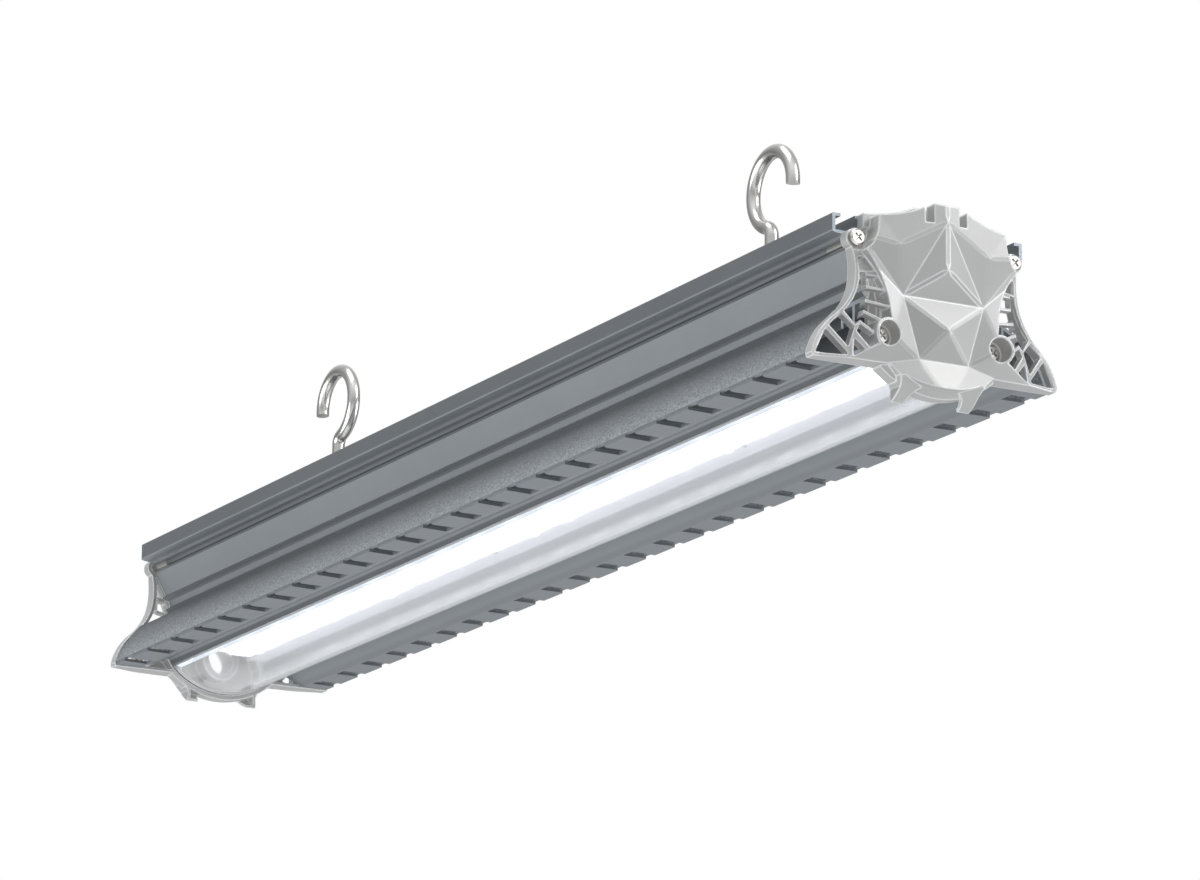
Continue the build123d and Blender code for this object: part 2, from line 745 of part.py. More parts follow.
with BuildPart() as driver_case:
    with BuildSketch(Plane.XY.offset(driver_level + bracket_thick)):
        with Locations((driver_place, 0)):
            Rectangle(driver_length, driver_width)
    extrude(amount=driver_height)
    fillet(driver_case.edges().filter_by(Axis.X).group_by(Axis.Z)[-1], radius=2.5)
driver_case.part.label = "driver_case"
export_step(driver_case.part, "parts/driver_case.step")

with BuildPart() as driver_screws:
    with BuildSketch(Plane.XY.offset(driver_level + bracket_thick)):
        with Locations(*driver_spots):
            Circle(2 * small_screw)
    extrude(amount=small_screw_head)
    with BuildSketch(Plane.XY.offset(driver_level + bracket_thick)):
        with Locations(*driver_spots):
            Circle(small_screw)
    extrude(amount=-bracket_thick - (web_top - web_under))
driver_screws.part.label = "driver_screws"
export_step(driver_screws.part, "parts/driver_screws.step")

# Terminal block for the supply, beside the inlet end
terminal_place = terminal_inset - half_length
with BuildPart() as terminal_block:
    with BuildSketch(Plane.XY.offset(driver_level)):
        with Locations((terminal_place, 0)):
            Rectangle(22, 30)
    extrude(amount=18)
    with BuildSketch(Plane.XY.offset(driver_level + 18)):
        with Locations((terminal_place, 0)):
            with GridLocations(0, 9, 1, 3):
                Circle(2.6)
    extrude(amount=-9, mode=Mode.SUBTRACT)
    with BuildSketch(Plane.YZ.offset(terminal_place - 11)):
        with Locations((0, driver_level + 6)):
            with GridLocations(9, 0, 3, 1):
                Circle(2.0)
    extrude(amount=22, mode=Mode.SUBTRACT)
terminal_block.part.label = "terminal_block"
export_step(terminal_block.part, "parts/terminal_block.step")

# Hooks: a wire eye on a threaded stem, held in the top channel by a plate and two nuts
plate_top = plate_level + rail_top - sheet
stem_low = plate_level + floor_top + plate_gap
# The stem turns into the eye by a small bend that touches both: its centre lies level with its start
reach = eye_radius + bend_radius
bend_start = eye_height - sqrt(reach ** 2 - (eye_shift + bend_radius) ** 2)
bend_turn = degrees(asin((eye_height - bend_start) / reach))


def round_eye(angle):
    """Point of the eye at an angle in degrees."""
    turn = radians(angle)
    return (hook_place + eye_shift + eye_radius * cos(turn), eye_height + eye_radius * sin(turn))


def round_bend(angle):
    """Point of the small bend at an angle in degrees."""
    turn = radians(angle)
    return (hook_place - bend_radius + bend_radius * cos(turn), bend_start + bend_radius * sin(turn))


with BuildPart() as hook_near:
    with BuildLine(Plane(origin=(0, 0, plate_level), x_dir=(1, 0, 0), z_dir=(0, -1, 0))) as wire:
        Line((hook_place, floor_top + plate_gap), (hook_place, bend_start))
        ThreePointArc((hook_place, bend_start), round_bend(bend_turn / 2), round_bend(bend_turn))
        ThreePointArc(round_bend(bend_turn), round_eye(120), round_eye(tip_angle))
    with BuildSketch(Plane(origin=(hook_place, 0, stem_low), z_dir=(0, 0, 1))):
        Circle(wire_radius)
    sweep(path=wire.line)
hook_near.part.label = "hook_near"
export_step(hook_near.part, "parts/hook_near.step")

with BuildPart() as plate_near:
    with BuildSketch(Plane.XY.offset(plate_top)):
        with Locations((hook_place, 0)):
            Rectangle(plate_length, 2 * (slot_wall_in - plate_gap))
            Circle(wire_radius + 0.3, mode=Mode.SUBTRACT)
    extrude(amount=-plate_thick)
plate_near.part.label = "hook_plate_near"
export_step(plate_near.part, "parts/hook_plate_near.step")

with BuildPart() as lock_nut_near:
    with BuildSketch(Plane.XY.offset(plate_top - plate_thick)):
        with Locations((hook_place, 0)):
            RegularPolygon(nut_across / 2, 6, major_radius=False)
            Circle(wire_radius + thread_gap, mode=Mode.SUBTRACT)
    extrude(amount=-lock_nut_height)
lock_nut_near.part.label = "hook_lock_nut_near"
export_step(lock_nut_near.part, "parts/hook_lock_nut_near.step")

with BuildPart() as washer_near:
    with BuildSketch(Plane.XY.offset(plate_top)):
        with Locations((hook_place, 0)):
            Circle(washer_radius)
            Circle(wire_radius + 0.3, mode=Mode.SUBTRACT)
    extrude(amount=washer_thick)
washer_near.part.label = "hook_washer_near"
export_step(washer_near.part, "parts/hook_washer_near.step")

with BuildPart() as nut_near:
    with BuildSketch(Plane.XY.offset(plate_top + washer_thick)):
        with Locations((hook_place, 0)):
            RegularPolygon(nut_across / 2, 6, major_radius=False)
            Circle(wire_radius + thread_gap, mode=Mode.SUBTRACT)
    extrude(amount=nut_height)
nut_near.part.label = "hook_nut_near"
export_step(nut_near.part, "parts/hook_nut_near.step")

for piece in (hook_near, plate_near, lock_nut_near, washer_near, nut_near):
    far_piece = turned(piece.part)
    far_piece.label = piece.part.label.replace("near", "far")
    export_step(far_piece, f"parts/{far_piece.label}.step")
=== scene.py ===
"""Looks of a hanging linear light fixture: its finishes, its light, the studio and the camera."""

import logging
from dataclasses import dataclass
from enum import Enum
from math import cos, radians, sin
from typing import Any

import bpy
from mathutils import Matrix, Vector


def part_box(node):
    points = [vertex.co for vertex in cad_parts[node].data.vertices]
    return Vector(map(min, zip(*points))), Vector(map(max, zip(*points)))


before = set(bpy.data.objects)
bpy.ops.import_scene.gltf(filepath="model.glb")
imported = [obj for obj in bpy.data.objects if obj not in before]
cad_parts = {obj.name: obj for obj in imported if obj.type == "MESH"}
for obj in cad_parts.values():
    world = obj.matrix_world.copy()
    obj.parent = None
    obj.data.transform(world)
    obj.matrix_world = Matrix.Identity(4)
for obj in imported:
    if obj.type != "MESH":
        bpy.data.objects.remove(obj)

logging.basicConfig(level=logging.INFO, format="%(message)s")
log = logging.getLogger("light_fixture")

Colour = tuple[float, float, float]
Place = tuple[float, float, float]
Span = tuple[float, float]
Steps = tuple[tuple[float, float], ...]
Material = bpy.types.Material
Socket = bpy.types.NodeSocket

WHITE = (1.0, 1.0, 1.0, 1.0)

# Height of the wing plates above the ground, as in the CAD
PLATE_LEVEL = 0.0177

# Painted light and shade on the housing: strength of its colour by the height above the wing
# plates, in metres: wing, ledges, wall and top rail, darker where shade falls, lighter where light
# catches
PROFILE_PAINTED_LIGHT_AND_SHADE: Steps = (
    (0.0012, 1.12), (0.0025, 1.32), (0.0255, 0.30), (0.0275, 0.30), (0.0300, 0.68), (0.0415, 0.68),
    (0.0425, 1.20), (0.0452, 1.20), (0.0458, 0.78), (0.0485, 0.78), (0.0492, 1.33), (0.0624, 1.33),
    (0.0627, 0.95), (0.0645, 0.95), (0.0648, 0.27), (0.0660, 0.27), (0.0668, 0.85), (0.0685, 0.70),
    (0.0692, 1.45), (0.0703, 1.45), (0.0712, 1.30), (0.0716, 0.70),
)

# The same painted light and shade by the distance from the middle, from the lens to the wing plate
STRIP_PAINTED_LIGHT_AND_SHADE: Steps = (
    (0.0360, 0.60), (0.0371, 0.60), (0.0374, 1.20), (0.0386, 1.20), (0.0390, 0.92), (0.0560, 0.92),
    (0.0580, 1.00),
)

# Every finish has a fine pattern, of its grain's own size, and a broad one of soft patches
FINE_DETAIL = 3.0
PATCH_SCALE = 14.0

# Drawn sheet has its fine pattern pulled out lengthwise
DRAWN_STRETCH = (0.02, 1.0, 1.0)

# How far the roughness swings round its mean from patch to patch
ROUGHNESS_SPREAD = 0.1

# Stretches over which a pattern or a share is read
UNIT_SPAN: Span = (0.0, 1.0)
NOISE_SPAN: Span = (0.3, 0.7)
PATCH_SPAN: Span = (0.2, 0.8)
BOTH_SPAN: Span = (0.6, 1.4)

# Painted bounce light, a glow of the surface's own colour in inside hollows: how far off their
# walls count, in metres, and the open shares at which all and none of it is there
HOLLOW_REACH = 0.03
HOLLOW_SPAN: Span = (0.0, 0.6)

# Rays that feel out a hollow or an edge
FEELER_RAYS = 6


class Grain(Enum):
    """The fine surface pattern of a finish."""

    BLASTED = "blasted"
    DRAWN = "drawn"
    MOULDED = "moulded"
    POLISHED = "polished"


class Tree:
    """The node tree of a material or world, with short ways to add and join nodes."""

    def __init__(self, owner: Material | bpy.types.World) -> None:
        """Opens the tree.

        Args:
            owner: The Blender material or world.
        """
        owner.use_nodes = True
        self.nodes = owner.node_tree.nodes
        self.links = owner.node_tree.links

    def add(
        self, kind: str, inputs: dict[str | int, Any] | None = None, **settings: Any
    ) -> bpy.types.Node:
        """Adds a node, sets it up and fills or joins its inputs.

        Args:
            kind: The node's type without its ShaderNode prefix.
            inputs: Values or output sockets for its inputs, by name or number.
            **settings: Properties of the node.

        Returns:
            The node.
        """
        node = self.nodes.new("ShaderNode" + kind)
        for key, value in settings.items():
            setattr(node, key, value)
        for key, value in (inputs or {}).items():
            self.put(node.inputs[key], value)
        return node

    def put(self, socket: Socket, value: Any) -> None:
        """Joins an output to an input, or writes a plain value into it.

        Args:
            socket: The input.
            value: An output socket or a value.
        """
        if isinstance(value, Socket):
            self.links.new(value, socket)
        else:
            socket.default_value = value

    def maths(self, operation: str, first: Any, second: Any = 0.0) -> Socket:
        """Joins two values by one sum.

        Args:
            operation: The Blender name of the sum.
            first: The first value or output.
            second: The second value or output.

        Returns:
            The output.
        """
        return self.add("Math", {0: first, 1: second}, operation=operation).outputs[0]

    def product(self, first: Any, *others: Any) -> Socket:
        """Multiplies values, such as masks that have to hold together.

        Args:
            first: The first value or output.
            *others: The further values or outputs.

        Returns:
            The output.
        """
        for other in others:
            first = self.maths("MULTIPLY", first, other)
        return first

    def ramp(self, value: Any, span: Span, low: float = 0.0, high: float = 1.0) -> Socket:
        """Maps a stretch of a value onto another, clamped.

        Args:
            value: The output to map.
            span: The value that gives low and the value that gives high.
            low: The result at the first.
            high: The result at the second.

        Returns:
            The output.
        """
        start, end = span
        limits = {"Value": value, "From Min": start, "From Max": end, "To Min": low, "To Max": high}
        return self.add("MapRange", limits).outputs[0]

    def steps(self, value: Any, stops: Steps) -> Socket:
        """Reads a value off a line drawn through several stops.

        Args:
            value: The output to read at.
            stops: Pairs of a place and its value, in rising order of place.

        Returns:
            The output.
        """
        reach, top = stops[-1][0], max(stop[1] for stop in stops)
        node = self.add("ValToRGB", {"Fac": self.maths("DIVIDE", value, reach)})
        band = node.color_ramp
        band.elements.remove(band.elements[1])
        for number, (place, amount) in enumerate(stops):
            mark = band.elements[0] if number == 0 else band.elements.new(place / reach)
            mark.position = place / reach
            mark.color = (amount / top, amount / top, amount / top, 1.0)
        return self.maths("MULTIPLY", node.outputs["Color"], top)

    def noise(self, place: Socket, scale: float, detail: float = 2.0) -> Socket:
        """Adds an even cloudy pattern.

        Args:
            place: The output of the place to read it at.
            scale: How close together its spots lie.
            detail: How many finer patterns lie on it.

        Returns:
            The output.
        """
        inputs = {"Vector": place, "Scale": scale, "Detail": detail}
        return self.add("TexNoise", inputs).outputs["Fac"]

    def apart(self, vector: Socket) -> bpy.types.NodeOutputs:
        """Splits a vector.

        Args:
            vector: The vector's output.

        Returns:
            The outputs X, Y and Z.
        """
        return self.add("SeparateXYZ", {0: vector}).outputs

    def tinted(self, colour: Any, factor: Any) -> Socket:
        """Scales a colour by a factor.

        Args:
            colour: A colour or an output.
            factor: The factor's output.

        Returns:
            The output.
        """
        return self.add("VectorMath", {0: colour, "Scale": factor}, operation="SCALE").outputs[0]

    def mixed(self, factor: Any, under: Any, over: Colour) -> Socket:
        """Lays one colour over another.

        Args:
            factor: How much of the upper colour shows.
            under: The lower colour's output.
            over: The upper colour.

        Returns:
            The output.
        """
        inputs = {"Fac": factor, "Color1": under, "Color2": (*over, 1.0)}
        return self.add("MixRGB", inputs).outputs[0]


@dataclass(frozen=True)
class Finish:
    """One procedural finish of a metal, plastic or rubber surface, with sizes in metres."""

    name: str
    colour: Colour
    metallic: float
    roughness: float
    grain: Grain
    grain_size: float = 0.0006
    grain_depth: float = 0.08
    colour_spread: float = 0.05
    painted_bounce: float = 0.0

    def local(self, tree: Tree, colour: Socket) -> Socket:
        """Changes the colour from place to place, by the finish itself and by painted light and
        shade.

        Args:
            tree: The material's tree.
            colour: The even colour's output.

        Returns:
            The colour's output.
        """
        return colour

    def smooth_normal(self, tree: Tree) -> Socket | None:
        """Gives the normal into which the grain is pressed.

        Args:
            tree: The material's tree.

        Returns:
            The output, or None for the surface's own normal.
        """
        return None

    def pressed(self, tree: Tree, pattern: Socket, normal: Socket | None) -> Socket:
        """Presses the grain into the surface.

        Args:
            tree: The material's tree.
            pattern: The fine pattern's output.
            normal: The output of the normal under the grain, or None for the surface's own.

        Returns:
            The normal's output.
        """
        bump = tree.add("Bump", {"Strength": self.grain_depth, "Distance": self.grain_size})
        tree.put(bump.inputs["Height"], pattern)
        if normal is not None:
            tree.put(bump.inputs["Normal"], normal)
        return bump.outputs[0]

    def material(self) -> Material:
        """Builds the finish as a node material.

        Returns:
            The Blender material.
        """
        made = bpy.data.materials.new(self.name)
        tree = Tree(made)
        shader = tree.nodes["Principled BSDF"]
        place = tree.add("TexCoord").outputs["Object"]
        if self.grain is Grain.DRAWN:
            place = tree.add("Mapping", {"Vector": place, "Scale": DRAWN_STRETCH}).outputs[0]
        fine = tree.noise(place, 1.0 / self.grain_size, FINE_DETAIL)
        patches = tree.noise(place, PATCH_SCALE)
        both = tree.maths("ADD", fine, patches)
        spread = tree.ramp(both, BOTH_SPAN, 1.0 - self.colour_spread, 1.0 + self.colour_spread)
        colour = self.local(tree, tree.tinted(self.colour, spread))
        tree.put(shader.inputs["Base Color"], colour)
        if self.painted_bounce:
            # Painted bounce light: the surface glows with its own colour inside deep hollows
            hollow = tree.add("AmbientOcclusion", {"Distance": HOLLOW_REACH}, samples=FEELER_RAYS)
            glow = tree.ramp(hollow.outputs["AO"], HOLLOW_SPAN, self.painted_bounce, 0.0)
            tree.put(shader.inputs["Emission Color"], colour)
            tree.put(shader.inputs["Emission Strength"], glow)
        shader.inputs["Metallic"].default_value = self.metallic
        smoothest = self.roughness * (1.0 - ROUGHNESS_SPREAD)
        roughest = self.roughness * (1.0 + ROUGHNESS_SPREAD)
        tree.put(shader.inputs["Roughness"], tree.ramp(patches, PATCH_SPAN, smoothest, roughest))
        normal = self.smooth_normal(tree)
        if self.grain is not Grain.POLISHED:
            normal = self.pressed(tree, fine, normal)
        if normal is not None:
            tree.put(shader.inputs["Normal"], normal)
        return made


@dataclass(frozen=True)
class ExtrudedFinish(Finish):
    """An anodised extrusion with pale cut ends, sparkling wings, a white lamp channel, and painted
    light and shade along its profile and on faces turned along it.

    Its heights are above the wing plates, and its distances across are from the middle.
    """

    profile_painted_light: Steps = PROFILE_PAINTED_LIGHT_AND_SHADE
    strip_painted_light: Steps = STRIP_PAINTED_LIGHT_AND_SHADE
    strip_top: float = 0.0095
    sparkle: float = 0.4
    sparkle_scale: float = 850.0
    sparkle_span: Span = (0.35, 0.65)
    wing_foot: Span = (0.0016, 0.0022)
    wing_top: Span = (0.0280, 0.0275)
    wing_inner: Span = (0.0580, 0.0586)
    channel_half: float = 0.0303
    channel_level: float = 0.0131
    channel_depth: float = 0.001
    channel_colour: Colour = (0.80, 0.80, 0.84)
    end_facing: float = 0.8
    endways_painted_shade: float = 0.7
    half_length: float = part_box("housing")[1].x
    cut_depth: float = 0.0003
    cut_colour: Colour = (0.46, 0.51, 0.56)

    def with_painted_light_and_shade(self, tree: Tree, colour: Socket, across: Socket, height: Socket) -> Socket:
        """Paints light and shade into the colour: each ledge, wall and strip of the profile gets
        its own strength.

        Args:
            tree: The material's tree.
            colour: The colour's output so far.
            across: The output of the distance from the middle.
            height: The output of the height above the wing plates.

        Returns:
            The colour's output.
        """
        # Painted light and shade: by the height first, then across the low strip
        colour = tree.tinted(colour, tree.steps(height, self.profile_painted_light))
        low = tree.maths("LESS_THAN", height, self.strip_top)
        change = tree.maths("SUBTRACT", tree.steps(across, self.strip_painted_light), 1.0)
        return tree.tinted(colour, tree.maths("ADD", tree.product(low, change), 1.0))

    def sparkling(
        self, tree: Tree, colour: Socket, place: Socket, across: Socket, height: Socket
    ) -> Socket:
        """Scatters light and dark specks over the louvred wings.

        Args:
            tree: The material's tree.
            colour: The colour's output so far.
            place: The output of the place.
            across: The output of the distance from the middle.
            height: The output of the height above the wing plates.

        Returns:
            The colour's output.
        """
        below_top = tree.ramp(height, self.wing_top)
        above_foot = tree.ramp(height, self.wing_foot)
        beyond_plate = tree.ramp(across, self.wing_inner)
        on_wing = tree.product(below_top, above_foot, beyond_plate)
        coarse = tree.noise(place, self.sparkle_scale)
        speck = tree.ramp(coarse, self.sparkle_span, -self.sparkle, self.sparkle)
        return tree.tinted(colour, tree.maths("ADD", tree.product(on_wing, speck), 1.0))

    def channelled(self, tree: Tree, colour: Socket, across: Socket, height: Socket) -> Socket:
        """Whitens the ceiling of the lamp channel behind the LED boards.

        Args:
            tree: The material's tree.
            colour: The colour's output so far.
            across: The output of the distance from the middle.
            height: The output of the height above the wing plates.

        Returns:
            The colour's output.
        """
        inside = tree.maths("LESS_THAN", across, self.channel_half)
        above = tree.maths("GREATER_THAN", height, self.channel_level)
        below = tree.maths("LESS_THAN", height, self.channel_level + self.channel_depth)
        return tree.mixed(tree.product(inside, above, below), colour, self.channel_colour)

    def local(self, tree: Tree, colour: Socket) -> Socket:
        """Adds the painted light and shade of the profile and of faces turned along it, the
        sparkle, the white channel and the pale cut ends.

        Args:
            tree: The material's tree.
            colour: The even colour's output.

        Returns:
            The colour's output.
        """
        shape = tree.add("NewGeometry").outputs
        place = tree.apart(shape["Position"])
        across = tree.maths("ABSOLUTE", place["Y"])
        height = tree.maths("SUBTRACT", place["Z"], PLATE_LEVEL)
        colour = self.with_painted_light_and_shade(tree, colour, across, height)
        colour = self.sparkling(tree, colour, shape["Position"], across, height)
        colour = self.channelled(tree, colour, across, height)
        facing = tree.maths("ABSOLUTE", tree.apart(shape["True Normal"])["X"])
        endways = tree.maths("GREATER_THAN", facing, self.end_facing)
        # Painted shade: faces turned along the housing, other than the cut ends, are darkened
        colour = tree.tinted(colour, tree.ramp(endways, UNIT_SPAN, 1.0, self.endways_painted_shade))
        along = tree.maths("ABSOLUTE", place["X"])
        at_end = tree.maths("GREATER_THAN", along, self.half_length - self.cut_depth)
        return tree.mixed(tree.product(endways, at_end), colour, self.cut_colour)


@dataclass(frozen=True)
class CastFinish(Finish):
    """A satin casting with softly rounded edges that carry a painted highlight.

    An edge or crease gets its full share of painted highlight where the rounded normal's match with
    the flat one falls to the second value of its span. Creases are sought only on the crown of the
    shield.
    """

    edge_radius: float = 0.0012
    painted_highlight_colour: Colour = (1.0, 1.0, 1.0)
    edge_painted_highlight: float = 0.8
    edge_span: Span = (0.9990, 0.98)
    crease_painted_highlight: float = 0.7
    crease_span: Span = (0.99995, 0.9982)
    crown_half: float = 0.0425
    crown_level: float = 0.036

    def smooth_normal(self, tree: Tree) -> Socket | None:
        """Rounds the sharp edges in the shading.

        Args:
            tree: The material's tree.

        Returns:
            The rounded normal's output.
        """
        flat = tree.add("NewGeometry").outputs["True Normal"]
        inputs = {"Radius": self.edge_radius, "Normal": flat}
        return tree.add("Bevel", inputs, samples=FEELER_RAYS).outputs[0]

    def local(self, tree: Tree, colour: Socket) -> Socket:
        """Paints highlights on the edges and ridges.

        Args:
            tree: The material's tree.
            colour: The even colour's output.

        Returns:
            The colour's output.
        """
        shape = tree.add("NewGeometry").outputs
        normals = {0: self.smooth_normal(tree), 1: shape["True Normal"]}
        match = tree.add("VectorMath", normals, operation="DOT_PRODUCT").outputs["Value"]
        # Painted highlight along every edge, and along the shallow creases of the crown
        edge_highlight = tree.ramp(match, self.edge_span, 0.0, self.edge_painted_highlight)
        crease_highlight = tree.ramp(match, self.crease_span, 0.0, self.crease_painted_highlight)
        place = tree.apart(shape["Position"])
        across = tree.maths("ABSOLUTE", place["Y"])
        inside = tree.maths("LESS_THAN", across, self.crown_half)
        above = tree.maths("GREATER_THAN", place["Z"], PLATE_LEVEL + self.crown_level)
        crease_highlight = tree.product(crease_highlight, inside, above)
        return tree.mixed(tree.maths("MAXIMUM", edge_highlight, crease_highlight), colour, self.painted_highlight_colour)


@dataclass(frozen=True)
class PolishedFinish(Finish):
    """A polished metal with painted reflections: it darkens as it turns away and is pale again at
    its rim.
    """

    turn_blend: float = 0.5
    painted_dark_tone: float = 0.5
    painted_dark_span: Span = (0.12, 0.42)
    painted_rim_tone: float = 0.9
    painted_rim_span: Span = (0.55, 0.85)

    def local(self, tree: Tree, colour: Socket) -> Socket:
        """Paints reflections: darkens the colour in bands beside the middle of the wire, pale again
        at the rim.

        Args:
            tree: The material's tree.
            colour: The even colour's output.

        Returns:
            The colour's output.
        """
        turn = tree.add("LayerWeight", {"Blend": self.turn_blend}).outputs["Facing"]
        painted_darker = tree.ramp(turn, self.painted_dark_span, 1.0, self.painted_dark_tone)
        painted_rim = tree.ramp(turn, self.painted_rim_span, 0.0, self.painted_rim_tone - self.painted_dark_tone)
        return tree.tinted(colour, tree.maths("ADD", painted_darker, painted_rim))


@dataclass(frozen=True)
class ClearPlastic:
    """The clear plastic of the lens, very slightly clouded, with a faint painted glow of its own.
    """

    name: str
    colour: Colour = (0.94, 0.955, 0.97)
    roughness: float = 0.05
    refraction: float = 1.49
    cloud_scale: float = 30.0
    cloud_tone: float = 0.98
    glow: float = 0.055
    painted_glow_colour: Colour = (0.93, 0.96, 1.0)

    def material(self) -> Material:
        """Builds the clear plastic.

        Returns:
            The Blender material.
        """
        made = bpy.data.materials.new(self.name)
        tree = Tree(made)
        shader = tree.nodes["Principled BSDF"]
        cloud = tree.noise(tree.add("TexCoord").outputs["Object"], self.cloud_scale)
        clear = tree.tinted(self.colour, tree.ramp(cloud, NOISE_SPAN, self.cloud_tone, 1.0))
        tree.put(shader.inputs["Base Color"], clear)
        shader.inputs["Roughness"].default_value = self.roughness
        shader.inputs["IOR"].default_value = self.refraction
        shader.inputs["Transmission Weight"].default_value = 1.0
        # Painted glow: the lens gives off a faint light of its own
        shader.inputs["Emission Color"].default_value = (*self.painted_glow_colour, 1.0)
        shader.inputs["Emission Strength"].default_value = self.glow
        return made


@dataclass(frozen=True)
class GlowingSurface:
    """A white surface that glows, brightest round each LED: lamp light on the LEDs, painted light
    on the boards, seals and board screws.
    """

    name: str
    colour: Colour = (0.97, 0.98, 1.0)
    strength: float = 0.9
    spot_strength: float = 2.0
    pitch: float = 0.044
    spot_radius: float = 0.016
    roughness: float = 0.4
    grain_scale: float = 900.0
    grain_tone: float = 0.93

    def material(self) -> Material:
        """Builds the glowing surface.

        Returns:
            The Blender material.
        """
        made = bpy.data.materials.new(self.name)
        tree = Tree(made)
        shader = tree.nodes["Principled BSDF"]
        shader.inputs["Roughness"].default_value = self.roughness
        grain = tree.noise(tree.add("TexCoord").outputs["Object"], self.grain_scale)
        white = tree.tinted(self.colour, tree.ramp(grain, NOISE_SPAN, self.grain_tone, 1.0))
        tree.put(shader.inputs["Base Color"], white)
        tree.put(shader.inputs["Emission Color"], white)
        # Brighter round each LED: painted pools of light on the boards and seals
        along = tree.apart(tree.add("NewGeometry").outputs["Position"])["X"]
        # Each spot sits halfway along its pitch
        phase = tree.maths("FRACT", tree.maths("DIVIDE", along, self.pitch))
        off_spot = tree.maths("ABSOLUTE", tree.maths("SUBTRACT", phase, 0.5))
        away = tree.product(off_spot, self.pitch)
        brightest = self.strength + self.spot_strength
        glow = tree.ramp(away, (0.0, self.spot_radius), brightest, self.strength)
        tree.put(shader.inputs["Emission Strength"], glow)
        return made


ANODISED = ExtrudedFinish(
    "blue_grey_anodised", (0.215, 0.232, 0.245), metallic=0.45, roughness=0.45,
    grain=Grain.BLASTED, grain_size=0.0008, grain_depth=0.25, painted_bounce=0.5,
)
CAP_PAINT = CastFinish(
    "warm_grey_satin", (0.485, 0.483, 0.474), metallic=0.35, roughness=0.34,
    grain=Grain.MOULDED, grain_size=0.0008, grain_depth=0.06, colour_spread=0.03, painted_bounce=0.2,
)
STAINLESS = PolishedFinish("polished_stainless", (0.90, 0.875, 0.835), 1.0, 0.2, Grain.POLISHED)
SEAL_GREY = Finish("grey_rubber", (0.12, 0.12, 0.125), 0.0, 0.7, Grain.MOULDED)
SHEET_METAL = Finish("plain_sheet", (0.42, 0.43, 0.45), 0.8, 0.4, Grain.DRAWN)
PALE_PLASTIC = Finish("pale_plastic", (0.6, 0.6, 0.56), 0.0, 0.5, Grain.MOULDED)
CLEAR_LENS = ClearPlastic("clear_lens")
PAINTED_GLOW_SILICONE = GlowingSurface("painted_glow_silicone", (0.92, 0.96, 1.0), strength=0.28, spot_strength=0.1)
PAINTED_GLOW_BOARD = GlowingSurface("painted_glow_board")
LIT_LED = GlowingSurface("lit_led", (1.0, 0.98, 0.95), strength=12.0)


class SubAssembly:
    """CAD pieces that belong together. They keep the frame's shapes and only get finishes."""

    def dress(self, material: Material, *names: str) -> None:
        """Gives whole pieces one finish.

        Args:
            material: The Blender material.
            *names: The pieces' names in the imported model.
        """
        for name in names:
            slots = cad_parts[name].data.materials
            slots.clear()
            slots.append(material)
            log.info("dressed %s in %s", name, material.name)


@dataclass
class Housing(SubAssembly):
    """The extruded housing, its lens, and the seals of the lens and the caps."""

    finish: Finish = ANODISED
    clear: ClearPlastic = CLEAR_LENS
    silicone: GlowingSurface = PAINTED_GLOW_SILICONE
    gasket: Finish = SEAL_GREY

    def build(self) -> None:
        """Dresses the housing, the lens and the seals."""
        self.dress(self.finish.material(), "housing")
        self.dress(self.clear.material(), "lens")
        self.dress(self.silicone.material(), "lens_seal_left", "lens_seal_right")
        self.dress(self.gasket.material(), "cap_seal_near", "cap_seal_far")


@dataclass
class EndCaps(SubAssembly):
    """The two end caps with their screws."""

    finish: Finish = CAP_PAINT
    metal: Finish = STAINLESS

    def build(self) -> None:
        """Dresses the caps and screws."""
        self.dress(self.finish.material(), "end_cap_near", "end_cap_far")
        self.dress(self.metal.material(), "upper_cap_screws", "lower_cap_screws")


@dataclass
class LightEngine(SubAssembly):
    """LED boards, LEDs, driver and terminal block."""

    board: GlowingSurface = PAINTED_GLOW_BOARD
    lamp: GlowingSurface = LIT_LED
    metal: Finish = STAINLESS
    sheet: Finish = SHEET_METAL
    plastic: Finish = PALE_PLASTIC

    def build(self) -> None:
        """Dresses the pieces inside the housing. The boards and their screws carry a painted glow.
        """
        self.dress(self.board.material(), "led_board_near", "led_board_far", "board_screws")
        self.dress(self.lamp.material(), "leds")
        self.dress(self.metal.material(), "driver_screws")
        self.dress(self.sheet.material(), "driver_case", "driver_bracket")
        self.dress(self.plastic.material(), "terminal_block")


@dataclass
class Hooks(SubAssembly):
    """The wire hooks with their plates, nuts and washers."""

    wire: Finish = STAINLESS
    sheet: Finish = SHEET_METAL

    def build(self) -> None:
        """Dresses the hooks and nuts as polished wire, the plates and washers as sheet."""
        steel = self.wire.material()
        plain = self.sheet.material()
        for end in ("near", "far"):
            self.dress(steel, f"hook_{end}", f"hook_nut_{end}", f"hook_lock_nut_{end}")
            self.dress(plain, f"hook_plate_{end}", f"hook_washer_{end}")


@dataclass(frozen=True)
class Lamp:
    """One soft square lamp of the studio, in metres and watts."""

    name: str
    place: Place
    aim: Place
    power: float
    size: float

    def hang(self) -> None:
        """Hangs the lamp, turned towards its aim."""
        data = bpy.data.lights.new(self.name, "AREA")
        data.energy = self.power
        data.size = self.size
        holder = bpy.data.objects.new(self.name, data)
        holder.location = self.place
        turn = (Vector(self.aim) - Vector(self.place)).to_track_quat("-Z", "Y")
        holder.rotation_euler = turn.to_euler()
        bpy.context.scene.collection.objects.link(holder)


